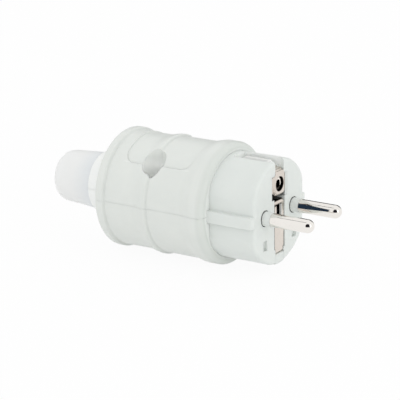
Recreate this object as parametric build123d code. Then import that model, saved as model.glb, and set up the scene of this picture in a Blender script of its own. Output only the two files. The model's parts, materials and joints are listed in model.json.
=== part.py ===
from build123d import *
import os
from math import radians, sin

# Rewirable electrical plug with two round pins, side earth strips and an earth socket.
# X runs along the plug and points to the pin tips, Z is up, and the origin lies on the
# engagement face, midway between the two pins. All sizes are in millimetres.

# Pins
pin_spacing = 19.0
pin_dia = 4.8
pin_length = 19.0
pin_root_dia = 4.2
pin_core_dia = 3.8
collar_dia = 5.2
collar_out = 3.0
collar_in = 6.0
collar_wall_clear = 0.05
shoulder_dia = 8.4
shoulder_length = 3.4
head_dia = 7.0
head_length = 9.0
wire_hole_dia = 3.2
wire_hole_depth = 6.5

# How far cuts run past a face, and parts that join a wall run into it
past = 1.0
wall_overlap = 0.5

# Contact insert: a round block with two flats, a guide rib on each flat and a flange
insert_r = 18.8
insert_length = 26.0
insert_edge = 1.1
flat_y = 16.4
flat_blend_r = 8.0
rib_y = 18.0
rib_width = 4.4
flange_lip = 0.8
flange_front = -20.6
flange_width = 3.0
pin_hole_rim = 0.25
pin_hole_rim_depth = 2.5
channel_width = 7.5
channel_front_wall = 1.7
channel_back = -16.2
notch_clear = 0.2
key_y = 9.7
key_z = -9.9
key_width = 2.6
key_height = 3.6
key_depth = 1.0

# Earth bracket: one bent strip, its face plate in the slot and its legs in the channels
sheet = 0.8
strip_face = -0.25
pad_face = -0.05
fold_face = -4.4
strip_width = 6.3
plate_width = 9.3
leg_width = 5.2
plate_low = 7.4
plate_high = 13.0
fold_high = 5.8
fold_low = 4.1
strip_hole_width = 3.2
strip_hole_height = 5.6
strip_slit = 0.5
strip_end = 15.3
leg_z = 16.0
leg_rise_start = -2.6
leg_rise_end = -4.0
bend_r = 0.85
earth_hole_z = 10.0
earth_bore = 5.2
pad_width = 6.0
pad_height = 7.4
pad_corner = 1.2
slot_gap = 0.35
slot_depth = 3.0
window_low = 4.9
pocket_depth = 12.0
moulded_gap = 0.02

# Earth socket contact and earth terminal
contact_dia = 6.2
contact_length = 14.0
contact_end_clear = 1.8
contact_slit = 0.8
contact_slit_start = 2.0
contact_slit_length = 10.0
earth_tail_z = 9.6
earth_tail_drop_x = -27.4
earth_tail_level_x = -29.2
earth_tail_end = -37.6
earth_terminal_x = -33.8
earth_screw_reach = 3.0
washer_length = 6.6
washer_thick = 1.0

# Screws: thread diameter, head diameter, head height and how far the slot is turned
terminal_thread = 3.5
terminal_head_dia = 5.8
terminal_head = 2.2
terminal_turn = 35.0
terminal_x = -31.6
terminal_seat = 0.3
terminal_tip = 0.4
earth_turn = 20.0
case_thread = 3.5
case_head_dia = 6.4
case_head = 2.5
case_turn = 50.0
clamp_thread = 3.0
clamp_head_dia = 5.6
clamp_head = 2.0
clamp_turn = 15.0
thread_clear = 0.05
screw_clear = 0.2
screw_slot = 0.8
screw_slot_depth = 1.1

# Rear plate that holds the pins in the insert
plate_thick = 2.5
plate_half_y = 15.0
plate_bottom = -10.0
plate_top = 5.6
plate_corner = 3.0
plate_screw_z = -5.6
plate_screw_length = 12.0
plate_screw_end_clear = 1.0

# Housing: outline stations along the axis, and how far each stands out from the middle
middle_r = 21.0
collar_front = -18.2
collar_step = 0.85
collar_edge = 2.0
collar_back = -23.4
flare_back = -28.0
bead_crease = -41.5
bead_crest = -42.4
bead_step = 0.7
bead_back = -48.0
rear_step = 0.2
rim_crease = -59.3
rim_front = -60.0
rim_step = 0.6
rim_back = -63.4
rim_edge = 1.6
neck_r = 11.2
neck_back = -73.4
neck_edge = 0.5
case_wall = 2.3
rear_wall = 2.6
insert_clear = 0.12
part_gap = 0.16
part_gap_depth = 0.25

# Label panel on the upper half, left bare
panel_back = -54.6
panel_front = -26.6
panel_angle = 47.0
panel_depth = 0.3
panel_corner = 4.0

# Housing screws and their wells
well_x = -42.2
well_inset = 7.0
well_dia = 8.4
well_floor = 4.0
boss_dia = 11.4
nut_across = 6.0
nut_thick = 2.8
nut_clear = 0.1
nut_end_clear = 0.15
case_screw_end = -7.5
case_end_clear = 1.0

# Cord clamp and cable sleeve
cord_dia = 9.0
sleeve_bore_clear = 0.15
clamp_bite = 0.2
clamp_x = -53.0
clamp_width = 5.0
clamp_half_y = 12.0
clamp_seat_z = -2.0
clamp_top_z = 6.6
clamp_screw_y = 8.8
clamp_screw_end = -9.0
clamp_end_clear = 0.5
clamp_head_sink = 3.4
clamp_edge = 2.5
sleeve_stem_r = 8.7
sleeve_flange_r = 12.4
sleeve_flange_width = 2.4
sleeve_root_r = 10.5
sleeve_tip_r = 8.9
sleeve_end = -91.5
sleeve_end_edge = 5.0
sleeve_clear = 0.12
rib_thick = 1.8

insert_plane = Plane.YZ
side_signs = (("left", -1), ("right", 1))
pin_y = pin_spacing / 2
flange_back = flange_front - flange_width
insert_back = -insert_length
collar_r = middle_r + collar_step
bead_r = middle_r + bead_step
rear_r = middle_r - rear_step
rim_r = middle_r + rim_step
inner_r = middle_r - case_wall
flange_r = inner_r + flange_lip
well_y = middle_r - well_inset
cavity_back = rim_back + rear_wall
outside = 3 * collar_r


def along_x(radius, x_from, x_to, y=0.0, z=0.0):
    """Cylinder about an axis parallel to X."""
    return Pos((x_from + x_to) / 2, y, z) * Rot(0, 90, 0) * Cylinder(radius, abs(x_to - x_from))


def along_z(radius, z_from, z_to, x=0.0, y=0.0):
    """Cylinder about an upright axis."""
    return Pos(x, y, (z_from + z_to) / 2) * Cylinder(radius, abs(z_to - z_from))


def block(x_from, x_to, y_from, y_to, z_from, z_to):
    """Box between pairs of faces."""
    size = (abs(x_to - x_from), abs(y_to - y_from), abs(z_to - z_from))
    middle = ((x_from + x_to) / 2, (y_from + y_to) / 2, (z_from + z_to) / 2)
    return Pos(*middle) * Box(*size)


def turned(points):
    """Solid turned about the X axis from an outline of (x, radius) points."""
    return revolve(Plane.XZ * make_face(Polyline(*points, close=True)), Axis.X)


# Bent earth bracket
def bracket_path(level):
    """Line of the strip in the XZ plane, at a given distance below its outer side."""
    face = strip_face - level
    fold = fold_face - level
    leg = leg_z - level
    end = strip_end - level
    points = [
        (earth_tail_end, earth_tail_z),
        (earth_tail_level_x, earth_tail_z),
        (earth_tail_drop_x, leg),
        (leg_rise_end, leg),
        (leg_rise_start, end),
        (face, end),
        (face, fold_high + level),
        (fold, fold_high + level),
        (fold, fold_low - level),
        (face, fold_low - level),
        (face, -end),
        (leg_rise_start, -end),
        (leg_rise_end, -leg),
        (insert_back, -leg),
    ]
    return Plane.XZ * FilletPolyline(*points, radius=bend_r)


def middle_rectangle(width, low, high):
    """Rectangle centred on the slot, between two heights."""
    return Pos(0, (low + high) / 2) * Rectangle(width, high - low)


def bracket_outline(grow):
    """Width of the strip at each height, seen from the front."""
    reach = leg_z + sheet
    strip = middle_rectangle(strip_width + 2 * grow, -plate_high - grow, plate_high)
    plate = middle_rectangle(plate_width + 2 * grow, plate_low - grow, plate_high + grow)
    legs = middle_rectangle(leg_width + 2 * grow, -reach, reach)
    return strip + plate + legs


def bent_strip(grow):
    """The strip as a bent sheet, or grown by a gap as the space that it is moulded into."""
    middle = bracket_path(sheet / 2)
    side = make_face(offset(middle, amount=sheet / 2 + grow, side=Side.BOTH, kind=Kind.INTERSECTION))
    swept = extrude(side, amount=plate_width, both=True)
    outline = insert_plane * bracket_outline(grow)
    return swept & extrude(outline, amount=-2 * insert_length)


def earth_bracket():
    strip = bent_strip(0)
    pad_outline = Pos(0, earth_hole_z) * RectangleRounded(pad_width, pad_height, pad_corner)
    pad = Plane.YZ.offset(pad_face) * pad_outline
    strip += extrude(pad, amount=-sheet)
    strip -= along_x(earth_bore / 2, past, -2 * sheet, z=earth_hole_z)
    strip -= extrude(insert_plane * Rectangle(strip_hole_width, strip_hole_height), amount=-2 * sheet)
    hole_top = strip_hole_height / 2
    strip -= block(0, -2 * sheet, 0, -strip_width, hole_top - strip_slit, hole_top)
    strip -= along_z(terminal_thread / 2 + thread_clear, 0, leg_z, x=earth_terminal_x)
    return strip


def earth_socket_contact():
    """Slit tube behind the round hole, which grips the earth pin of a socket."""
    front = strip_face - sheet
    back = front - contact_length
    tube = along_x(contact_dia / 2, front, back, z=earth_hole_z)
    tube -= along_x(earth_bore / 2, front + past, back - past, z=earth_hole_z)
    slit_front = front - contact_slit_start
    for turn in (45, 135):
        slit = block(slit_front, slit_front - contact_slit_length, -contact_dia, contact_dia,
                     -contact_slit / 2, contact_slit / 2)
        tube -= Pos(0, 0, earth_hole_z) * Rot(turn, 0, 0) * slit
    return tube


# Contact insert
def insert_section(grow=0.0):
    """Circle with two flats and a guide rib left on each flat."""
    disc = Circle(insert_r + grow)
    core = disc & Rectangle(2 * (flat_y + grow), 4 * insert_r)
    core = fillet(core.vertices(), flat_blend_r + grow)
    ribs = disc & Rectangle(2 * (rib_y + grow), rib_width + 2 * grow)
    return core + ribs


def contact_insert():
    body = extrude(insert_plane * insert_section(), amount=-insert_length)
    body = fillet(body.faces().sort_by(Axis.X)[-1].outer_wire().edges(), insert_edge)
    body += along_x(flange_r, flange_front, flange_back)

    for side in (-1, 1):
        y = side * pin_y
        body -= along_x(pin_root_dia / 2 + collar_wall_clear, past, insert_back - past, y=y)
        body -= along_x(collar_dia / 2 + collar_wall_clear, past, -collar_in - collar_wall_clear, y=y)
        body -= along_x(collar_dia / 2 + pin_hole_rim, past, -pin_hole_rim_depth, y=y)
        body -= along_x(shoulder_dia / 2 + collar_wall_clear, insert_back + shoulder_length,
                        insert_back - past, y=y)
        key_place = Plane.YZ * Pos(side * key_y, key_z)
        body -= extrude(key_place * Rectangle(key_width, key_height), amount=-key_depth)

        # Open channel above or below the leg, and the notch where the leg comes in from the front
        far_z = side * 2 * insert_r
        half = channel_width / 2
        body -= block(-channel_front_wall, channel_back, -half, half, side * (leg_z - sheet), far_z)
        half = leg_width / 2 + notch_clear
        body -= block(past, leg_rise_end, -half, half, side * (strip_end - sheet), far_z)

    # Slot for the strip, the wider window for its face plate, the space inside the fold, and
    # the pockets beside and behind the strip
    slot = middle_rectangle(strip_width + 2 * slot_gap, -plate_high - slot_gap, plate_high)
    slot += middle_rectangle(plate_width + 2 * slot_gap, window_low, plate_high + slot_gap)
    slot += middle_rectangle(leg_width + 2 * notch_clear, -strip_end, strip_end)
    body -= extrude(insert_plane * slot, amount=-slot_depth)
    fold_space = middle_rectangle(strip_width + 2 * slot_gap, fold_low - sheet, fold_high + sheet)
    body -= extrude(insert_plane * fold_space, amount=fold_face)
    pockets = middle_rectangle(plate_width + 2 * slot_gap, window_low, plate_low)
    pockets -= middle_rectangle(strip_width, window_low, plate_low)
    pockets += Rectangle(strip_hole_width + 2 * slot_gap, strip_hole_height)
    body -= extrude(insert_plane * pockets, amount=-pocket_depth)

    body -= bent_strip(moulded_gap)
    contact_end = strip_face - sheet - contact_length - contact_end_clear
    body -= along_x(contact_dia / 2 + screw_clear, past, contact_end, z=earth_hole_z)
    body -= along_x(clamp_thread / 2 + thread_clear, insert_back + plate_screw_length, insert_back - past,
                    z=plate_screw_z)
    return body


# Pins
def line_pin(side):
    y = side * pin_y
    tip = pin_length - pin_dia / 2
    pin = along_x(pin_dia / 2, collar_out, tip, y=y)
    pin += Pos(tip, y, 0) * Sphere(pin_dia / 2)
    pin += along_x(pin_core_dia / 2, collar_out, -collar_in, y=y)
    pin += along_x(pin_root_dia / 2, -collar_in, insert_back + shoulder_length, y=y)
    pin += along_x(shoulder_dia / 2, insert_back + shoulder_length, insert_back, y=y)
    pin += along_x(head_dia / 2, insert_back, insert_back - head_length, y=y)
    head_end = insert_back - head_length
    pin -= along_x(wire_hole_dia / 2, head_end - past, head_end + wire_hole_depth, y=y)
    pin -= along_z(terminal_thread / 2 + thread_clear, 0, head_dia, x=terminal_x, y=y)
    return pin


def pin_collar(side):
    y = side * pin_y
    tube = along_x(collar_dia / 2, collar_out, -collar_in, y=y)
    return tube - along_x(pin_core_dia / 2, collar_out + past, -collar_in - past, y=y)


# Screws
def slotted_screw(thread, head_dia_, head_height, length):
    """Screw with its head's underside at the origin and its shank down along -Z."""
    head = along_z(head_dia_ / 2, 0, head_height)
    head = fillet(head.edges().group_by(Axis.Z)[-1], head_height / 4)
    shank = along_z(thread / 2, 0, -length)
    shank = chamfer(shank.edges().group_by(Axis.Z)[0], thread / 8)
    slot = Pos(0, 0, head_height) * Box(2 * head_dia_, screw_slot, 2 * screw_slot_depth)
    return head + shank - slot


def terminal_screw(side):
    seat = head_dia / 2 + terminal_seat
    screw = slotted_screw(terminal_thread, terminal_head_dia, terminal_head, seat - terminal_tip)
    return Pos(terminal_x, side * pin_y, seat) * Rot(0, 0, side * terminal_turn) * screw


def earth_terminal_washer():
    low = earth_tail_z + sheet / 2
    high = low + washer_thick
    half = washer_length / 2
    plate = block(earth_terminal_x - half, earth_terminal_x + half, -strip_width / 2, strip_width / 2,
                  low, high)
    return plate - along_z(terminal_thread / 2 + screw_clear, low - past, high + past, x=earth_terminal_x)


def earth_terminal_screw():
    seat = earth_tail_z + sheet / 2 + washer_thick
    length = seat - earth_tail_z + earth_screw_reach
    screw = slotted_screw(terminal_thread, terminal_head_dia, terminal_head, length)
    return Pos(earth_terminal_x, 0, seat) * Rot(0, 0, earth_turn) * screw


# Rear plate behind the insert
def pin_retainer():
    outline = Pos(0, (plate_top + plate_bottom) / 2) * RectangleRounded(
        2 * plate_half_y, plate_top - plate_bottom, plate_corner)
    plate = extrude(Plane.YZ.offset(insert_back) * outline, amount=-plate_thick)
    bore_front = insert_back + past
    bore_back = insert_back - plate_thick - past
    for side in (-1, 1):
        plate -= along_x(head_dia / 2 + screw_clear, bore_front, bore_back, y=side * pin_y)
    return plate - along_x(clamp_thread / 2 + screw_clear, bore_front, bore_back, z=plate_screw_z)


def retainer_screw():
    length = plate_thick + plate_screw_length - plate_screw_end_clear
    screw = slotted_screw(clamp_thread, clamp_head_dia, clamp_head, length)
    return Pos(insert_back - plate_thick, 0, plate_screw_z) * Rot(0, -90, 0) * screw


# Housing halves
def body_outline(inset):
    """Outer profile of the housing as a face in the XZ plane, moved inward by the inset."""
    front = collar_front - inset
    back = neck_back + inset
    flare = [(collar_back, collar_r - inset), (flare_back, middle_r - inset)]
    collar_line = Polyline((front, 0), (front, collar_r - inset), flare[0])
    flare_curve = Spline(*flare, tangents=[(-1, 0), (-1, 0)], tangent_scalars=(0.8, 0.8))
    middle = Polyline(flare[1], (bead_crease, middle_r - inset), (bead_crest, bead_r - inset))
    bead = Spline((bead_crest, bead_r - inset), (bead_back, rear_r - inset), tangents=[(-1, 0), (-1, 0)])
    rear = Polyline(
        (bead_back, rear_r - inset),
        (rim_crease, rear_r - inset),
        (rim_front, rim_r - inset),
        (rim_back + inset, rim_r - inset),
        (rim_back + inset, neck_r - inset),
        (back, neck_r - inset),
        (back, 0),
        (front, 0),
    )
    return Plane.XZ * make_face(collar_line + flare_curve + middle + bead + rear)


def body_solid():
    body = revolve(body_outline(0), Axis.X)
    for x, radius, rounding in (
        (collar_front, collar_r, collar_edge),
        (rim_back, rim_r, rim_edge),
        (neck_back, neck_r, neck_edge),
    ):
        rings = body.edges().filter_by(GeomType.CIRCLE)
        ring = [e for e in rings if abs(e.center().X - x) < 0.01 and abs(e.radius - radius) < 0.01]
        body = fillet(ring, rounding)
    return body


def parting_groove():
    """Thin ring in the parting plane, open to the outside, which shows as the parting line."""
    plate = block(outside, -outside - rim_r, -outside, outside, -part_gap / 2, part_gap / 2)
    return plate & (revolve(body_outline(0), Axis.X) - revolve(body_outline(part_gap_depth), Axis.X))


def hollow():
    """Space inside the housing: insert opening, flange groove, wiring room and sleeve seat."""
    mouth = collar_front + past
    space = extrude(Plane.YZ.offset(mouth) * insert_section(insert_clear),
                    amount=flange_front - insert_clear - mouth)
    space += along_x(flange_r + insert_clear, flange_front + insert_clear, flange_back - insert_clear)
    space += extrude(Plane.YZ.offset(flange_back) * insert_section(insert_clear),
                     amount=insert_back - flange_back - insert_clear)
    space += along_x(inner_r, flange_back, cavity_back)
    space += along_x(sleeve_stem_r + sleeve_clear, cavity_back, neck_back - past)
    return space


def locating_rib():
    """Ring inside the housing that holds the flange of the cable sleeve against the rear wall."""
    front = cavity_back + sleeve_flange_width + sleeve_clear + rib_thick
    ring = along_x(inner_r + wall_overlap, front, front - rib_thick)
    return ring - along_x(sleeve_stem_r, front + past, front - rib_thick - past)


def half_space(side):
    return block(outside, 2 * neck_back, -outside, outside, 0, side * outside)


def housing_half(side):
    """One half of the housing with its two screw bosses, before the parts that differ."""
    shell = body_solid() - hollow()
    shell += locating_rib()
    keep = body_solid()
    for y_side in (-1, 1):
        boss = along_z(boss_dia / 2, 0, side * outside, x=well_x, y=y_side * well_y)
        shell += boss & keep
    shell &= half_space(side)
    return shell - parting_groove()


def housing_upper():
    shell = housing_half(1)
    for y_side in (-1, 1):
        y = y_side * well_y
        shell -= along_z(well_dia / 2, well_floor, outside, x=well_x, y=y)
        shell -= along_z(case_thread / 2 + screw_clear, -past, well_floor + past, x=well_x, y=y)
    return shell - panel_recess()


def panel_recess():
    """Shallow bare panel with rounded corners, wrapped over the top of the upper half."""
    length = panel_front - panel_back
    skin = revolve(body_outline(0), Axis.X) - revolve(body_outline(panel_depth), Axis.X)
    half_width = rear_r * sin(radians(panel_angle))
    outline = Pos((panel_front + panel_back) / 2, 0) * RectangleRounded(length, 2 * half_width, panel_corner)
    return skin & extrude(outline, amount=outside)


def housing_lower():
    shell = housing_half(-1)
    for y_side in (-1, 1):
        y = y_side * well_y
        shell -= along_z(case_thread / 2 + screw_clear, past, case_screw_end - case_end_clear,
                         x=well_x, y=y)
        pocket = Pos(well_x, y, 0) * RegularPolygon(nut_across / 2 + nut_clear, 6, major_radius=False)
        shell -= extrude(pocket, amount=-nut_thick - 2 * nut_end_clear)
    front = clamp_x + clamp_width / 2
    back = clamp_x - clamp_width / 2
    foot_r = inner_r + wall_overlap
    saddle = block(front, back, -clamp_half_y, clamp_half_y, clamp_seat_z, -foot_r)
    saddle &= along_x(foot_r, front + past, back - past)
    saddle -= along_x(cord_dia / 2 - clamp_bite, front + past, back - past)
    for y_side in (-1, 1):
        saddle -= along_z(clamp_thread / 2 + thread_clear, clamp_seat_z + past,
                          clamp_screw_end - clamp_end_clear, x=clamp_x, y=y_side * clamp_screw_y)
    return shell + saddle


def housing_screw(side):
    screw = slotted_screw(case_thread, case_head_dia, case_head, well_floor - case_screw_end)
    return Pos(well_x, side * well_y, well_floor) * Rot(0, 0, side * case_turn) * screw


def housing_nut(side):
    hexagon = RegularPolygon(nut_across / 2, 6, major_radius=False)
    hexagon -= Circle(case_thread / 2 + thread_clear)
    return Pos(well_x, side * well_y, -nut_end_clear) * extrude(hexagon, amount=-nut_thick)


# Cord clamp and cable sleeve
def clamp_bar():
    front = clamp_x + clamp_width / 2
    back = clamp_x - clamp_width / 2
    bar = block(front, back, -clamp_half_y, clamp_half_y, clamp_seat_z, clamp_top_z)
    bar = fillet(bar.edges().filter_by(Axis.X).group_by(Axis.Z)[-1], clamp_edge)
    bar -= along_x(cord_dia / 2 - clamp_bite, front + past, back - past)
    for side in (-1, 1):
        y = side * clamp_screw_y
        top = clamp_top_z + past
        bar -= along_z(clamp_thread / 2 + screw_clear, clamp_seat_z - past, top, x=clamp_x, y=y)
        bar -= along_z(clamp_head_dia / 2 + screw_clear, clamp_top_z - clamp_head_sink, top, x=clamp_x, y=y)
    return bar


def clamp_screw(side):
    seat = clamp_top_z - clamp_head_sink
    screw = slotted_screw(clamp_thread, clamp_head_dia, clamp_head, seat - clamp_screw_end)
    return Pos(clamp_x, side * clamp_screw_y, seat) * Rot(0, 0, side * clamp_turn) * screw


def cable_sleeve():
    """Soft sleeve: flange inside the housing, stem in the neck, tapered end outside."""
    flange_back_x = cavity_back + sleeve_clear / 2
    flange_front_x = flange_back_x + sleeve_flange_width
    outer = turned([
        (flange_front_x, 0),
        (flange_front_x, sleeve_flange_r),
        (flange_back_x, sleeve_flange_r),
        (flange_back_x, sleeve_stem_r),
        (neck_back, sleeve_stem_r),
        (neck_back, sleeve_root_r),
        (sleeve_end, sleeve_tip_r),
        (sleeve_end, 0),
    ])
    end_edge = [e for e in outer.edges().filter_by(GeomType.CIRCLE) if abs(e.center().X - sleeve_end) < 0.01]
    outer = fillet(end_edge, sleeve_end_edge)
    return outer - along_x(cord_dia / 2 + sleeve_bore_clear, flange_front_x + past, sleeve_end - past)


def build():
    """All pieces by the name of their node."""
    parts = {
        "housing_upper": housing_upper(),
        "housing_lower": housing_lower(),
        "contact_insert": contact_insert(),
        "pin_retainer": pin_retainer(),
        "retainer_screw": retainer_screw(),
        "earth_bracket": earth_bracket(),
        "earth_socket_contact": earth_socket_contact(),
        "earth_terminal_washer": earth_terminal_washer(),
        "earth_terminal_screw": earth_terminal_screw(),
        "cable_sleeve": cable_sleeve(),
        "cord_clamp_bar": clamp_bar(),
    }
    for name, side in side_signs:
        parts["line_pin_" + name] = line_pin(side)
        parts["pin_collar_" + name] = pin_collar(side)
        parts["terminal_screw_" + name] = terminal_screw(side)
        parts["housing_screw_" + name] = housing_screw(side)
        parts["housing_nut_" + name] = housing_nut(side)
        parts["cord_clamp_screw_" + name] = clamp_screw(side)
    return parts


os.makedirs("parts", exist_ok=True)
for node, shape in build().items():
    shape.label = node
    export_step(shape, "parts/" + node + ".step")
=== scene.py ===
import json
from functools import reduce
from math import cos, pi, radians, sin

import bmesh
import bpy
import numpy as np
from mathutils import Euler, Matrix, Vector


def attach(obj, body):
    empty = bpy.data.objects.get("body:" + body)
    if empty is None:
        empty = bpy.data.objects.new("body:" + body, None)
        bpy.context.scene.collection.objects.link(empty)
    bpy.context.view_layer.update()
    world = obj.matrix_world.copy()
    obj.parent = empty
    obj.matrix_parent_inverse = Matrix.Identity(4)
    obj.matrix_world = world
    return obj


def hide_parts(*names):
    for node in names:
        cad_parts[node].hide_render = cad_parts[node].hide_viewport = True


# Rewirable electrical plug: two round pins, an earth socket and side earth strips, a two-part
# grey housing and a soft cable sleeve. Lengths in this script are in millimetres, and every
# mesh is written in metres. X runs along the plug to the pin tips, and Z points up.

MM = 0.001

# Places and sizes that the solids also have
FLOOR_Z = -21.85
PIN_Y = 9.5
EARTH_HOLE_Z = 10.0
EARTH_BORE_R = 2.6
INSERT_R = 18.8
LEG_Z = 16.0
WELL_X = -42.2
WELL_Y = 14.0
WELL_R = 4.2

# The long sides of the panel lie at 47 degrees from the top, and this is that angle's tangent
PANEL_SLOPE = 1.072

# Radius by which the shader rounds the edges of moulded plastic, and on sharper edges
SOFT_EDGE = 0.5
PANEL_EDGE = 0.06
SEAM_EDGE = 0.02

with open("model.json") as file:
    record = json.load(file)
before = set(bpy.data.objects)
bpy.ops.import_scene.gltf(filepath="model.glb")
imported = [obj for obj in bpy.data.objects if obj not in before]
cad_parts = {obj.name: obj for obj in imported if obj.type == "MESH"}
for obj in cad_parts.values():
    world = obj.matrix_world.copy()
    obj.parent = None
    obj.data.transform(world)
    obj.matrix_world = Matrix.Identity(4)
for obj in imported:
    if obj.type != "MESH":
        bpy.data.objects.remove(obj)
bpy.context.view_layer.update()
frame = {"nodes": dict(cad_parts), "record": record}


# Finishes
class Nodes:
    """The nodes of a material or world, with short ways to add them and join them."""

    def __init__(self, owner):
        owner.use_nodes = True
        self.nodes = owner.node_tree.nodes
        self.links = owner.node_tree.links

    def add(self, kind, **settings):
        node = self.nodes.new(kind)
        for key, value in settings.items():
            setattr(node, key, value)
        return node

    def join(self, output, socket):
        self.links.new(output, socket)

    def math(self, operation, *values):
        """Result of a math node; numbers are set and outputs are joined."""
        node = self.add("ShaderNodeMath", operation=operation)
        for socket, value in zip(node.inputs, values):
            if isinstance(value, (int, float)):
                socket.default_value = value
            else:
                self.join(value, socket)
        return node.outputs["Value"]

    def product(self, *values):
        """All of several masks or numbers multiplied."""
        return reduce(lambda total, value: self.math("MULTIPLY", total, value), values)

    def largest(self, *values):
        """The largest of several masks or numbers."""
        return reduce(lambda total, value: self.math("MAXIMUM", total, value), values)

    def spread(self, value, low, high, out_low, out_high):
        """Straight map of a value from one range to another."""
        node = self.add("ShaderNodeMapRange")
        limits = zip(("From Min", "From Max", "To Min", "To Max"), (low, high, out_low, out_high))
        for key, number in limits:
            node.inputs[key].default_value = number
        self.join(value, node.inputs["Value"])
        return node.outputs["Result"]

    def seen_directly(self):
        """1 for camera, glossy and transmission rays, and 0 for the others."""
        path = self.add("ShaderNodeLightPath")
        kinds = ("Camera", "Glossy", "Transmission")
        return self.largest(*(path.outputs["Is %s Ray" % kind] for kind in kinds))

    def glow(self, colour):
        node = self.add("ShaderNodeEmission")
        node.inputs["Color"].default_value = (*colour, 1)
        return node.outputs["Emission"]

    def blend(self, share, first, second):
        """Surface that changes from one shader to another by a share from 0 to 1."""
        node = self.add("ShaderNodeMixShader")
        self.join(share, node.inputs["Fac"])
        self.join(first, node.inputs[1])
        self.join(second, node.inputs[2])
        self.join(node.outputs["Shader"], self.nodes["Material Output"].inputs["Surface"])


class Finish(Nodes):
    """A material whose marks are placed by object coordinates."""

    def __init__(self, name):
        self.material = bpy.data.materials.new(name)
        super().__init__(self.material)
        self.shader = self.nodes["Principled BSDF"]
        self.place = self.add("ShaderNodeTexCoord").outputs["Object"]

    def set(self, **sockets):
        """Constants on the shader's own sockets; an underscore stands for a space."""
        for key, value in sockets.items():
            self.shader.inputs[key.replace("_", " ")].default_value = value

    def drive(self, socket, output):
        self.join(output, self.shader.inputs[socket])

    # Patterns
    def stretched(self, scale):
        """Object coordinates with a separate scale along each axis."""
        mapping = self.add("ShaderNodeMapping")
        mapping.inputs["Scale"].default_value = scale
        self.join(self.place, mapping.inputs["Vector"])
        return mapping.outputs["Vector"]

    def noise(self, scale, detail=2.0, rough=0.5, source=None, warp=0.0):
        node = self.add("ShaderNodeTexNoise")
        node.inputs["Scale"].default_value = scale
        node.inputs["Detail"].default_value = detail
        node.inputs["Roughness"].default_value = rough
        node.inputs["Distortion"].default_value = warp
        self.join(source or self.place, node.inputs["Vector"])
        return node.outputs["Fac"]

    def mottle(self):
        """Large soft clouds at two scales, added up, from 0 to 1."""
        broad = self.noise(42, 3, 0.55, warp=0.8)
        fine = self.noise(150, 4, 0.6)
        return self.spread(self.math("ADD", broad, fine), 0.7, 1.3, 0, 1)

    # Masks: places and distances go in as millimetres, and coordinates come out in metres
    def axis(self, letter):
        """One object coordinate, in metres."""
        split = self.add("ShaderNodeSeparateXYZ")
        self.join(self.place, split.inputs["Vector"])
        return split.outputs[letter]

    def offset(self, letter, middle):
        """Signed distance from a place along one coordinate, in metres."""
        return self.math("SUBTRACT", self.axis(letter), middle * MM)

    def away(self, letter, middle=0.0):
        """Distance to either side of a place along one coordinate, in metres."""
        return self.math("ABSOLUTE", self.offset(letter, middle))

    def around(self, first, second):
        """Distance from an axis, from the offsets to it along two coordinates."""
        squares = [self.math("MULTIPLY", offset, offset) for offset in (first, second)]
        return self.math("SQRT", self.math("ADD", *squares))

    def ramp(self, distance, low, high, out_low=1, out_high=0):
        """Straight change of a mask between two distances."""
        return self.spread(distance, low * MM, high * MM, out_low, out_high)

    def within(self, letter, low, high, soft=0.1):
        """1 where a coordinate lies between two values, with soft ends."""
        half = (high - low) / 2
        return self.ramp(self.away(letter, (low + high) / 2), half - soft, half + soft)

    def in_box(self, x, y, z, soft=0.1):
        """1 inside a box given by pairs of coordinates, and 0 outside."""
        sides = zip("XYZ", (x, y, z))
        return self.product(*(self.within(letter, *pair, soft) for letter, pair in sides))

    # Colour and relief
    def tint(self, value, first, second):
        """Colour between two tints, by a value from 0 to 1."""
        node = self.add("ShaderNodeMix", data_type="RGBA")
        node.inputs["A"].default_value = (*first, 1)
        node.inputs["B"].default_value = (*second, 1)
        self.join(value, node.inputs["Factor"])
        self.drive("Base Color", node.outputs["Result"])

    def over(self, mask, colour):
        """Lays a tint over the present base colour where the mask is 1."""
        below = self.shader.inputs["Base Color"].links[0].from_socket
        node = self.add("ShaderNodeMix", data_type="RGBA")
        self.join(mask, node.inputs["Factor"])
        self.join(below, node.inputs["A"])
        node.inputs["B"].default_value = (*colour, 1)
        self.drive("Base Color", node.outputs["Result"])

    def soft_edges(self, radius):
        """Normal that rounds the sharp edges by a small radius, in metres."""
        node = self.add("ShaderNodeBevel", samples=6)
        if isinstance(radius, float):
            node.inputs["Radius"].default_value = radius
        else:
            self.join(radius, node.inputs["Radius"])
        return node.outputs["Normal"]

    def bump(self, value, height, strength, onto=None):
        node = self.add("ShaderNodeBump")
        node.inputs["Strength"].default_value = strength
        node.inputs["Distance"].default_value = height
        self.join(value, node.inputs["Height"])
        if onto is not None:
            self.join(onto, node.inputs["Normal"])
        return node.outputs["Normal"]


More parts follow.
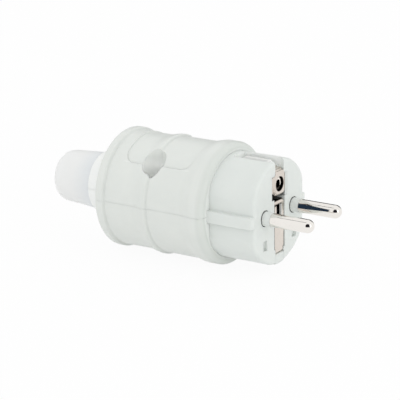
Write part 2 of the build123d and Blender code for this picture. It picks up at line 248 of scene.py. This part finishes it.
def moulded_plastic(name, light, dark, roughness, grain_height, haze, seam=False):
    """Moulded plastic: cloudy tint, patchy gloss, flow waves and the fine grain of the mould.
    With a seam, the edges stay sharp along the parting line and round the panel."""
    f = Finish(name)
    f.tint(f.mottle(), dark, light)
    patch = f.noise(260, 3, 0.55)
    f.drive("Roughness", f.spread(patch, 0.25, 0.75, roughness - 0.05, roughness + 0.06))
    flow = f.noise(420, 2, 0.5, source=f.stretched((0.35, 1, 1)))
    rounding = SOFT_EDGE * MM
    if seam:
        near_seam = f.ramp(f.away("Z"), 0.3, 1.2, SEAM_EDGE * MM, SOFT_EDGE * MM)
        panel = f.in_box((-58, -22), (-13, 13), (15, 23), 0.3)
        near_panel = f.spread(panel, 0, 1, SOFT_EDGE * MM, PANEL_EDGE * MM)
        rounding = f.math("MINIMUM", near_seam, near_panel)
    soft = f.bump(flow, 0.05 * MM, 0.3, onto=f.soft_edges(rounding))
    grain = f.noise(3200, 3, 0.6)
    f.drive("Normal", f.bump(grain, grain_height, 0.4, onto=soft))
    f.set(IOR=1.47, Specular_IOR_Level=0.35)
    f.set(Subsurface_Weight=haze, Subsurface_Radius=(1.0, 0.97, 0.9), Subsurface_Scale=1.6 * MM)
    return f


def housing_plastic():
    """Housing plastic: painted shade in its creases and at the front edge, and painted light in the
    wells, on the thin-walled neck, in the joint and along the long sides of the panel."""
    f = moulded_plastic("housing_plastic", (0.765, 0.79, 0.758), (0.732, 0.760, 0.730),
                        0.42, 0.02 * MM, 0.15, seam=True)
    # Painted shade: the bead crease and the rim crease are darkened in patches.
    crease_shade = f.largest(f.within("X", -42.0, -41.4, 0.3), f.within("X", -59.8, -59.3, 0.25))
    patches = f.spread(f.noise(130, 3, 0.6), 0.3, 0.7, 0.12, 0.38)
    f.over(f.product(crease_shade, patches), (0.45, 0.48, 0.45))

    # Painted light: the walls of each well, below its mouth, are lightened against the shade inside the
    # well.
    well = f.around(f.offset("X", WELL_X), f.math("SUBTRACT", f.away("Y"), WELL_Y * MM))
    below_mouth = f.within("Z", 2, 14.5, 1.5)
    wall = f.ramp(well, WELL_R + 0.05, WELL_R + 0.1)
    f.over(f.product(wall, below_mouth), (0.955, 0.97, 0.945))
    # Painted light: the housing's neck is lightened.
    f.over(f.within("X", -80, -63.9, 0.3), (0.92, 0.935, 0.92))

    reach = f.around(f.axis("Y"), f.axis("Z"))
    # Painted shade: the rounding of the front edge is darkened where it curves away from the light.
    front = f.product(f.within("X", -20.6, -17, 0.9), f.ramp(reach, 19.4, 20.0, 0, 0.4))
    f.over(front, (0.60, 0.64, 0.60))
    # Painted light: the housing's edge at the joint with the insert is lightened against the shade of
    # the gap.
    joint = f.product(f.within("X", -18.9, -17.9, 0.1), f.ramp(reach, 19.1, 19.5, 0.3, 0))
    f.over(joint, (0.95, 0.97, 0.95))
    # Painted light: a narrow band along each long side of the panel is lightened against the shade of
    # its step.
    past_panel = f.math("SUBTRACT", f.away("Y"), f.product(f.axis("Z"), PANEL_SLOPE))
    panel_side_light = f.ramp(f.math("ABSOLUTE", past_panel), 0.2, 0.5, 0.28, 0)
    f.over(f.product(panel_side_light, f.within("X", -54, -27, 0.6)), (0.92, 0.945, 0.915))
    return f.material


def insert_plastic():
    """Insert plastic: painted shade, near black and matt, in the depth of the slot, its pockets and the
    pin holes, painted light in the channels and at the joint, and a painted shadow on the upper rim of
    each pin hole on one side."""
    f = moulded_plastic("insert_plastic", (0.752, 0.785, 0.757), (0.722, 0.757, 0.732),
                        0.40, 0.018 * MM, 0.15)
    # Painted light: the channels and the joint with the housing are lightened against their shade.
    channel = f.product(f.within("X", -16.4, -1.2, 0.3), f.within("Y", -3.8, 3.8, 0.05),
                        f.ramp(f.away("Z"), 15.0, 15.3, 0, 0.85))
    joint = f.product(f.within("X", -18.6, -18.0, 0.12), 0.3)
    f.over(f.largest(channel, joint), (0.95, 0.97, 0.95))

    # Painted shade: the depth of the slot, its pockets and the pin holes are painted near black and
    # matt.
    window = f.in_box((-20, -0.3), (-5.3, 2.9), (4.6, 7.7), 0.05)
    strip_hole = f.in_box((-20, -0.6), (-3.7, 3.6), (-14.4, 3.6))
    top = f.in_box((-20, -1.3), (-5.3, 5.3), (7.5, 13.7))
    reach = f.around(f.math("SUBTRACT", f.away("Y"), PIN_Y * MM), f.axis("Z"))
    holes = f.product(f.ramp(reach, 3.1, 3.15), f.within("X", -30, -0.08, 0.05))
    recess_shade = f.largest(window, strip_hole, top, holes)
    f.over(recess_shade, (0.010, 0.012, 0.014))
    f.drive("Specular IOR Level", f.spread(recess_shade, 0, 1, 0.35, 0.02))

    for pin_y in (-PIN_Y, PIN_Y):
        offset = f.offset("Y", pin_y)
        # Painted shadow: a dark crescent on the upper rim of the pin hole, on one side.
        rim = f.ramp(f.around(offset, f.axis("Z")), 3.0, 3.08, 0.85, 0)
        side = f.ramp(offset, -0.9, -0.3)
        upper = f.ramp(f.axis("Z"), -0.6, 0.4, 0, 1)
        f.over(f.product(rim, side, upper, f.within("X", -1, 0.1, 0.05)), (0.02, 0.022, 0.025))
    return f.material


def collar_plastic():
    """Plastic of the pin collars, with painted shade where they sink into the insert."""
    f = moulded_plastic("collar_plastic", (0.775, 0.80, 0.775), (0.745, 0.775, 0.75),
                        0.36, 0.02 * MM, 0.3)
    # Painted shade: the collar is painted near black where it lies inside the insert.
    f.over(f.within("X", -30, 0.04, 0.03), (0.015, 0.017, 0.02))
    return f.material


def plated_metal(name, light, dark, roughness, along, mark_height):
    """Plated metal: faint tint clouds, fine lines along one axis and small rubbed patches."""
    f = Finish(name)
    f.tint(f.mottle(), dark, light)
    lines = f.noise(2600, 2, 0.6, source=f.stretched(along))
    rubbed = f.noise(520, 3, 0.6)
    low = f.spread(lines, 0.3, 0.7, roughness * 0.7, roughness * 1.3)
    f.drive("Roughness", f.product(low, f.spread(rubbed, 0.35, 0.7, 0.8, 1.35)))
    f.drive("Normal", f.bump(lines, mark_height, 0.25, onto=f.soft_edges(0.18 * MM)))
    f.set(Metallic=1.0)
    return f


def pin_metal():
    """Bright nickel of the pins, with its lines along them."""
    return plated_metal("pin_nickel", (0.87, 0.845, 0.805), (0.83, 0.80, 0.76),
                        0.10, (0.06, 1, 1), 0.005 * MM).material


def screw_metal():
    """Zinc plate of the screws, nuts and washer."""
    return plated_metal("zinc_plate", (0.66, 0.67, 0.67), (0.55, 0.56, 0.57),
                        0.3, (1, 1, 0.2), 0.01 * MM).material


def strip_metal():
    """Nickel of the earth strip: dull legs and cut edge, painted shade in the fold, on the sides and in
    the earth hole, and painted shadow lines where the strip meets the insert."""
    f = plated_metal("strip_nickel", (0.745, 0.685, 0.625), (0.67, 0.61, 0.55),
                     0.16, (1, 1, 0.08), 0.008 * MM)
    cut_edge = f.in_box((-1.3, 0.2), (1.5, 1.75), (-2.9, 2.4), 0.04)
    legs = f.ramp(f.away("Z"), 15.6, 15.9, 0, 1)
    dull = f.largest(cut_edge, legs)
    f.drive("Metallic", f.spread(dull, 0, 1, 1, 0))
    f.over(dull, (0.80, 0.81, 0.79))

    # Painted shade: the inside of the fold and the strip's side in the slot are painted near black.
    fold_shade = f.in_box((-8, -0.7), (-3.4, 3.4), (3.6, 6.2), 0.1)
    side = f.in_box((-8, -0.3), (-3.4, -3.1), (-15.2, 7.45), 0.03)
    f.over(f.largest(fold_shade, side), (0.035, 0.03, 0.024))
    # Painted shadow: thin dark lines along the strip's edges where it meets the insert, fainter on the
    # right.
    left_gap_shadow = f.in_box((-1, 0), (-3.4, -2.86), (-14.3, 4.2), 0.03)
    right_gap_shadow = f.in_box((-1, 0), (2.95, 3.4), (-14.3, -8), 0.03)
    f.over(f.largest(left_gap_shadow, f.product(right_gap_shadow, 0.6)), (0.05, 0.042, 0.036))
    # Painted shade: the wall of the earth hole is painted near black.
    reach = f.around(f.axis("Y"), f.offset("Z", EARTH_HOLE_Z))
    edge = f.ramp(reach, EARTH_BORE_R + 0.02, EARTH_BORE_R + 0.08)
    f.over(f.product(edge, f.within("X", -5, 0.3, 0.05)), (0.02, 0.017, 0.014))
    return f.material


def contact_metal():
    """Bright contact metal, with painted shade on its lower half and outside its lip."""
    f = plated_metal("bright_contact", (0.95, 0.90, 0.84), (0.88, 0.82, 0.75),
                     0.2, (0.1, 1, 1), 0.01 * MM)
    height = f.offset("Z", EARTH_HOLE_Z)
    # Painted shade: the lower half of the contact and the outside of its lip are painted near black.
    low = f.ramp(height, -0.9, -0.4)
    ring = f.ramp(f.around(f.axis("Y"), height), 2.2, 2.3, 0, 1)
    outer_lip_shade = f.product(ring, f.within("X", -1.5, 1, 0.1))
    f.over(f.largest(low, outer_lip_shade), (0.035, 0.028, 0.022))
    return f.material


def soft_sleeve():
    """Soft milky plastic with a slightly mottled skin, and painted shade that makes it cooler and
    darker towards the housing, for the dark inside showing through.
    """
    f = Finish("soft_sleeve")
    # Painted shade: the tint turns cooler and darker from the tip towards the housing.
    depth = f.ramp(f.axis("X"), -81.5, -74.5, 0, 0.9)
    f.tint(f.math("MULTIPLY_ADD", f.mottle(), 0.2, depth), (0.845, 0.85, 0.84), (0.785, 0.81, 0.825))
    f.drive("Roughness", f.spread(f.noise(300, 3, 0.5), 0.3, 0.7, 0.40, 0.52))
    ripple = f.bump(f.noise(160, 2, 0.5), 0.1 * MM, 0.15)
    grain = f.noise(2400, 3, 0.6)
    f.drive("Normal", f.bump(grain, 0.02 * MM, 0.25, onto=ripple))
    f.set(IOR=1.45, Specular_IOR_Level=0.3)
    f.set(Subsurface_Weight=0.45, Subsurface_Radius=(1.0, 1.0, 1.0), Subsurface_Scale=3 * MM)
    return f.material


FINISHES = {
    "housing": housing_plastic(),
    "insert": insert_plastic(),
    "collar": collar_plastic(),
    "nickel": pin_metal(),
    "contact_bronze": contact_metal(),
    "screw_steel": screw_metal(),
    "sleeve": soft_sleeve(),
}
strip_nickel = strip_metal()

for entry in frame["record"]["subparts"]:
    node = frame["nodes"][entry["node"]]
    node.data.materials.clear()
    node.data.materials.append(FINISHES[entry["material_slot"]])
frame["nodes"]["earth_bracket"].data.materials[0] = strip_nickel


# Placing
def placed(name, data):
    """New object of the scene, at the origin and unturned."""
    obj = bpy.data.objects.new(name, data)
    bpy.context.scene.collection.objects.link(obj)
    return obj


def aim(obj, direction):
    """Turns a camera or lamp to look along a direction."""
    obj.rotation_mode = "QUATERNION"
    obj.rotation_quaternion = direction.to_track_quat("-Z", "Y")


# Camera: the photograph's viewing angle, with the lens axis through the middle of the image
view_azimuth = radians(32.912)
view_elevation = radians(17.178)
view_roll = radians(-0.788)
camera_distance = 752.2
aim_point = Vector((-32.65, 0.0, -0.93))
level_reach = cos(view_elevation)
back = Vector((sin(view_azimuth) * level_reach, -cos(view_azimuth) * level_reach, sin(view_elevation)))
camera_data = bpy.data.cameras.new("camera")
camera_data.sensor_width = 36
camera_data.lens = 191.66
camera_data.clip_start = 0.01
camera_data.clip_end = 20
camera = placed("camera", camera_data)
camera.location = (aim_point + back * camera_distance) * MM
aim(camera, -back)
camera.rotation_quaternion = camera.rotation_quaternion @ Euler((0, 0, view_roll)).to_quaternion()
bpy.context.scene.camera = camera


# Formed pieces
def surface_piece(name, points, closed_u, closed_v, finish, *nodes, material=None):
    """Piece from a grid of points in millimetres; rows follow u and columns follow v. A closed
    direction joins its last line to its first. End rows that share one point are merged."""
    rows, columns = points.shape[:2]
    u = np.arange(rows if closed_u else rows - 1)
    v = np.arange(columns if closed_v else columns - 1)
    u, v = np.meshgrid(u * columns, v, indexing="ij")
    next_u, next_v = (u + columns) % (rows * columns), (v + 1) % columns
    quads = np.stack([u + v, next_u + v, next_u + next_v, u + next_v], -1)
    mesh = bpy.data.meshes.new(name)
    mesh.from_pydata((points.reshape(-1, 3) * MM).tolist(), [], quads.reshape(-1, 4).tolist())
    work = bmesh.new()
    work.from_mesh(mesh)
    bmesh.ops.remove_doubles(work, verts=work.verts, dist=1e-7)
    bmesh.ops.recalc_face_normals(work, faces=work.faces)
    work.to_mesh(mesh)
    work.free()
    mesh.shade_smooth()
    mesh.set_sharp_from_angle(angle=radians(50))
    piece = placed(name, mesh)
    mesh.materials.append(material or FINISHES[finish])
    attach(piece, "root")
    if nodes:
        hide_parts(*nodes)


def full_turn(count):
    """Angles of one full turn, without the last, which would repeat the first."""
    return np.linspace(0, 2 * pi, count, endpoint=False)


def rounded_corners(outline, radii, steps=6):
    """Closed outline of straight runs with each corner replaced by a quadratic curve: the
    weights (1-t)^2, 2t(1-t) and t^2 join the points at the given distance before and after it."""
    outline = np.asarray(outline, float)
    t = np.linspace(0, 1, steps)[:, None]
    pieces = []
    for index, radius in enumerate(radii):
        corner = outline[index]
        before = outline[index - 1] - corner
        after = outline[(index + 1) % len(outline)] - corner
        start = corner + before / np.linalg.norm(before) * radius
        end = corner + after / np.linalg.norm(after) * radius
        pieces.append((1 - t) ** 2 * start + 2 * t * (1 - t) * corner + t ** 2 * end)
    return np.concatenate(pieces)


def denser(line, step):
    """Adds points along a line so that none is further than the step from the next."""
    gaps = np.linalg.norm(np.diff(line, axis=0), axis=1)
    counts = np.maximum(1, np.ceil(gaps / step).astype(int))
    runs = [start + (end - start) * (np.arange(count) / count)[:, None]
            for start, end, count in zip(line, line[1:], counts)]
    return np.concatenate(runs + [line[-1:]])


def capped(points):
    """Adds a row at each end of a grid, in which every point is the middle of the end row."""
    first, last = (points[row].mean(0)[None, None] + 0 * points[:1] for row in (0, -1))
    return np.concatenate([first, points, last])


def turned_points(x, radius, turns, z=0.0):
    """Points turned about an axis parallel to X: y = r sin a, and z + r cos a."""
    return np.stack([x + 0 * turns, radius * np.sin(turns), z + radius * np.cos(turns)], -1)


def squared_loop(turns, half_width, half_height, power):
    """Rounded rectangle as a superellipse: each of sine and cosine raised to a small power."""
    sine, cosine = np.sin(turns), np.cos(turns)
    y = half_width * np.sign(sine) * np.abs(sine) ** power
    z = half_height * np.sign(cosine) * np.abs(cosine) ** power
    return np.stack([y, z], -1)


def loop_at(x, loop, y=0.0, z=0.0):
    """Loop of (y, z) points shifted and set upright at one x."""
    return np.stack([np.full(len(loop), x), y + loop[:, 0], z + loop[:, 1]], -1)


def cable_sleeve():
    """Soft sleeve: its wall's closed outline of (x, radius) turned about the cord's axis, and
    swollen by a small wave round the axis that dies away at the neck and the tip."""
    inner_end, swell_start, tip = -60.6, -75, -91.5
    bore_r, fade = 4.65, 6
    outline = [(inner_end, bore_r), (inner_end, 12.4), (-62.9, 12.4), (-62.9, 8.7),
               (-73.4, 8.7), (-73.4, 10.45), (tip, 9.15), (tip, bore_r)]
    line = rounded_corners(outline, (0.5, 0.8, 0.5, 0.3, 0.15, 0.5, 4.6, 0.9), 10)
    line = denser(np.concatenate([line, line[:1]]), 0.5)[:-1]
    x, radius = line[:, :1], line[:, 1:]
    turns = full_turn(224)[None]
    reach = np.clip((swell_start - x) / fade, 0, 1) * np.clip((x - tip) / fade, 0, 1)
    wave = 0.05 * np.sin(3 * turns + 0.5) + 0.03 * np.sin(5 * turns + x * 0.4)
    points = turned_points(x, radius + reach * wave, turns)
    surface_piece("soft_cable_sleeve", points, True, True, "sleeve", "cable_sleeve")


def earth_face_plate():
    """Face plate of the earth strip: loops round the earth hole, each at its own x. The hole's
    circle rolls up to the raised pad, and the pad's edge rolls down to the plate's own outline.
    The turns start a little past zero, so that no sine or cosine is zero."""
    turns = full_turn(192) + 1e-4
    pad_z = EARTH_HOLE_Z + 0.5
    circle = squared_loop(turns, 1, 1, 1)
    pad = squared_loop(turns, 3.05, 4.15, 0.28)
    plate = squared_loop(turns, 4.3, 2.95, 0.16) + np.array([-0.33, 0.12])
    hole_edge = ((EARTH_BORE_R, -0.6), (EARTH_BORE_R, 0.0), (2.66, 0.11), (2.8, 0.16))
    pad_edge = ((0.95, 0.16), (0.98, 0.14), (1, 0.06), (1.01, -0.08), (1.02, -0.16), (1.04, -0.19))
    plate_edge = ((0.985, -0.2), (0.997, -0.21), (1, -0.26), (1, -0.6))
    loops = [loop_at(x, circle * radius, z=EARTH_HOLE_Z) for radius, x in hole_edge]
    loops += [loop_at(x, pad * scale, z=pad_z) for scale, x in pad_edge]
    loops += [loop_at(x, plate * scale, z=EARTH_HOLE_Z) for scale, x in plate_edge]
    surface_piece("earth_face_plate", np.stack(loops), True, True, "nickel", material=strip_nickel)


def socket_contact():
    """Earth contact: a rolled lip and four fingers, each a closed wall section carried through
    its share of the turn round the hole's axis, with end caps that shrink to a point."""
    wall_in, wall_out, mouth_r = 2.62, 3.05, 1.4
    lip = rounded_corners(
        [(-0.62, mouth_r), (-0.62, 2.3), (-1.1, wall_out), (-3.1, wall_out),
         (-3.1, wall_in), (-1.4, wall_in), (-0.95, mouth_r)],
        (0.12, 0.15, 0.2, 0.1, 0.1, 0.2, 0.12), 4)
    points = turned_points(lip[:, :1], lip[:, 1:], full_turn(96)[None], EARTH_HOLE_Z)
    surface_piece("earth_contact_lip", points, True, True, "contact_bronze", "earth_socket_contact")

    outline = [(-3.0, wall_in), (-3.0, wall_out), (-15.05, wall_out), (-15.05, wall_in)]
    wall = rounded_corners(outline, (0.1, 0.1, 0.1, 0.1), 4)
    scale = np.concatenate([[0.0, 0.9], np.ones(18), [0.9, 0.0]])[:, None, None]
    share = np.concatenate([[0, 0], np.linspace(0, 1, 18), [1, 1]])[:, None]
    section = wall.mean(0) + scale * (wall - wall.mean(0))[None]
    slit = 0.3
    for quarter in range(4):
        turns = quarter * pi / 2 + slit / 2 + share * (pi / 2 - slit)
        points = turned_points(section[..., 0], section[..., 1], turns, EARTH_HOLE_Z)
        surface_piece("earth_contact_finger_%d" % (quarter + 1), points, False, True, "contact_bronze")


def window_lip():
    """Rim of the insert's window on the far side of the face plate: a rounded upright bar, its
    loops shrinking to a point at each end of its depth."""
    outline = squared_loop(full_turn(64), 0.54, 4.28, 0.12)
    steps = ((0.0, -0.7), (1.0, -0.7), (1.0, -0.1), (0.985, -0.04), (0.93, -0.02), (0.0, -0.02))
    loops = [loop_at(x, outline * scale, y=4.5, z=9.1) for scale, x in steps]
    surface_piece("insert_window_lip", np.stack(loops), False, True, "insert")


def leg_bow(name, side):
    """Sprung bow of the earth strip's leg in its channel: the section of the sheet carried along
    the plug, raised by a smooth step 3s^2 - 2s^3 at each end."""
    back_end, front_end, back_slope, front_slope = -16.0, -3.5, 1.6, 1.5
    sunk, rise, half_width, half_sheet = 0.02, 1.45, 2.6, 0.36
    x = np.linspace(back_end, front_end, 60)[:, None]
    s = np.clip(np.minimum((x - back_end) / back_slope, (front_end - x) / front_slope), 0, 1)
    height = LEG_Z - sunk + rise * (3 * s ** 2 - 2 * s ** 3)
    section = squared_loop(full_turn(32), half_width, half_sheet, 0.2)
    y = section[:, 0] + 0 * x
    z = side * (height - half_sheet + section[:, 1])
    points = capped(np.stack([x + 0 * y, y, z], -1))
    surface_piece(name, points, False, True, "nickel", material=strip_nickel)


def joint_lip():
    """Lip in the joint between insert and housing: a small section carried round the insert's
    outline, which is an arc, a blend, a flat and the guide rib in each quarter. The blend touches
    flat and arc, so its centre lies blend_r from the flat and INSERT_R - blend_r from the axis."""
    flat_y, blend_r, rib_y, rib_z = 16.4, 8.0, 18.0, 2.2
    centre_y = flat_y - blend_r
    centre_z = np.sqrt((INSERT_R - blend_r) ** 2 - centre_y ** 2)
    tangent = np.arctan2(centre_y, centre_z)
    arc, bend = np.linspace(0, tangent, 40), np.linspace(tangent, pi / 2, 12)[1:]
    round_part = INSERT_R * np.stack([np.sin(arc), np.cos(arc)], -1)
    blend_part = np.stack([centre_y + blend_r * np.sin(bend), centre_z + blend_r * np.cos(bend)], -1)
    quarter = np.concatenate([round_part, blend_part, [(flat_y, rib_z + 0.05), (rib_y, rib_z)]])
    half = np.concatenate([quarter, quarter[::-1] * (1, -1)])
    outline = np.concatenate([half[:-1], half[:0:-1] * (-1, 1)])
    outward = outline / np.linalg.norm(outline, axis=1)[:, None]
    section = ((-18.24, -0.01), (-18.21, 0.06), (-18.24, 0.13), (-19.2, 0.13), (-19.2, -0.01))
    loops = [loop_at(x, outline + outward * out) for x, out in section]
    surface_piece("joint_lip", np.stack(loops, 1), True, True, "housing")


def parting_lip(name, side, stations):
    """Lip that fills most of the parting groove on one side of the housing: a thin flat band
    that follows the outline r(x) at a small depth, with its thickness across the groove."""
    outline = denser(np.array(stations), 0.8)
    shallow, deep, half_height = 0.05, 0.3, 0.078
    depth = np.array([shallow, shallow, deep, deep])
    height = half_height * np.array([1, -1, -1, 1])
    x = outline[:, :1] + 0 * depth
    y = side * (outline[:, 1:] - depth)
    points = capped(np.stack([x, y, 0 * x + height], -1))
    surface_piece(name, points, False, True, "housing")


def lower_bridge():
    """Wall of the insert below the strip's end: a block whose outer face follows the insert's
    round outline, y = share of the width and z = -sqrt(r^2 - y^2), closed over its end faces."""
    half_width, front, rear, inner = 2.78, -0.02, -1.68, -15.15
    across = np.linspace(-half_width, half_width, 17)
    block = [(front, 0), (front, 1), (rear, 1), (rear, 0)]
    section = rounded_corners(block, (0.3, 0.35, 0.05, 0.05))
    outer = -np.sqrt((INSERT_R - 0.02) ** 2 - across ** 2)
    x = section[:, :1] + 0 * across
    z = inner + section[:, 1:] * (outer - inner)[None]
    points = np.stack([x, 0 * x + across, z], -1)
    points = capped(points.swapaxes(0, 1)).swapaxes(0, 1)
    surface_piece("insert_lower_bridge", points, True, False, "insert")


cable_sleeve()
earth_face_plate()
socket_contact()

# Outline of the case and of its neck along the parting line, as x and radius
case_line = [(-20.4, 21.85), (-23.4, 21.85), (-24.9, 21.68), (-26.4, 21.2), (-28.0, 21.0),
             (-41.5, 21.0), (-42.3, 21.62), (-43.6, 21.62), (-45.4, 21.2), (-48.0, 20.8),
             (-59.2, 20.8), (-60.0, 21.6), (-61.8, 21.6)]
neck_line = [(-63.5, 11.2), (-72.9, 11.2)]
for side_name, side in (("left", -1), ("right", 1)):
    parting_lip("parting_lip_" + side_name, side, case_line)
    parting_lip("neck_lip_" + side_name, side, neck_line)

lower_bridge()
window_lip()
leg_bow("earth_leg_bow_upper", 1)
leg_bow("earth_leg_bow_lower", -1)
joint_lip()


# Studio
def white_world(fill):
    """World that shows white to the camera and in reflections, and fills with a soft level of light."""
    world = bpy.data.worlds.new("studio")
    bpy.context.scene.world = world
    tree = Nodes(world)
    background = tree.nodes["Background"]
    background.inputs["Color"].default_value = (1, 1, 1, 1)
    tree.join(tree.spread(tree.seen_directly(), 0, 1, fill, 1), background.inputs["Strength"])


def flat_piece(name, corners):
    """Flat stage piece with one face between corners in millimetres."""
    mesh = bpy.data.meshes.new(name)
    mesh.from_pydata((np.asarray(corners, float) * MM).tolist(), [], [list(range(len(corners)))])
    return placed(name, mesh)


def studio_floor():
    """Round pale floor under the plug, mostly white to the eye, that keeps a soft shadow."""
    radius, glow_to_the_eye, glow_to_the_rest = 4000, 0.93, 0.3
    turns = full_turn(96)
    rim = radius * np.stack([np.cos(turns), np.sin(turns)], 1)
    floor = flat_piece("floor", np.column_stack([rim, np.full(len(rim), FLOOR_Z)]))
    material = bpy.data.materials.new("pale_floor")
    tree = Nodes(material)
    paint = tree.nodes["Principled BSDF"]
    paint.inputs["Base Color"].default_value = (0.9, 0.9, 0.9, 1)
    paint.inputs["Roughness"].default_value = 0.8
    paint.inputs["Specular IOR Level"].default_value = 0.1
    share = tree.largest(tree.product(tree.seen_directly(), glow_to_the_eye), glow_to_the_rest)
    tree.blend(share, paint.outputs["BSDF"], tree.glow((1, 1, 1)))
    floor.data.materials.append(material)


def card(name, corners, shade):
    """Flat card between corners in millimetres, which only mirror-like surfaces see, and only
    from the side on which its corners run anticlockwise."""
    obj = flat_piece(name, corners)
    material = bpy.data.materials.new(name + "_card")
    tree = Nodes(material)
    tree.nodes.remove(tree.nodes["Principled BSDF"])
    facing_away = tree.add("ShaderNodeNewGeometry").outputs["Backfacing"]
    clear = tree.add("ShaderNodeBsdfTransparent").outputs["BSDF"]
    tree.blend(facing_away, tree.glow(shade), clear)
    obj.data.materials.append(material)
    for ray in ("camera", "diffuse", "transmission", "volume_scatter", "shadow"):
        setattr(obj, "visible_" + ray, False)


def round_card(name, middle, radius, shade):
    """Round card that faces the middle of the plug."""
    look = (aim_point - middle).normalized()
    side = look.orthogonal().normalized()
    other = look.cross(side)
    turns = full_turn(48)
    card(name, [tuple(middle + (side * cos(a) + other * sin(a)) * radius) for a in turns], shade)


def lamp(name, place, size, power):
    """Square soft lamp that points at the middle of the plug."""
    data = bpy.data.lights.new(name, "AREA")
    data.size = size * MM
    data.energy = power
    obj = placed(name, data)
    obj.location = Vector(place) * MM
    aim(obj, aim_point - Vector(place))


white_world(0.985)
studio_floor()
lamp("key", (1100, -350, 350), 800, 1.6)
dark = (0.012, 0.012, 0.016)
deep_blue = (0.02, 0.035, 0.06)
round_card("behind_camera", aim_point + back * 900, 650, dark)
card("overhead", [(-900, -200, 900), (-200, -200, 900), (-200, -300, 900), (-900, -300, 900)], dark)
card("far_horizon", [(-2600, 1500, -20), (300, 1500, -20), (300, 1500, 1000), (-2600, 1500, 1000)],
     dark)
card("between_pins", [(0.4, 4.6, -2.0), (0.4, 4.6, 5.0), (14.0, 4.6, 3.0), (14.0, 4.6, 0.2)],
     deep_blue)

bpy.context.scene.view_settings.view_transform = "Standard"
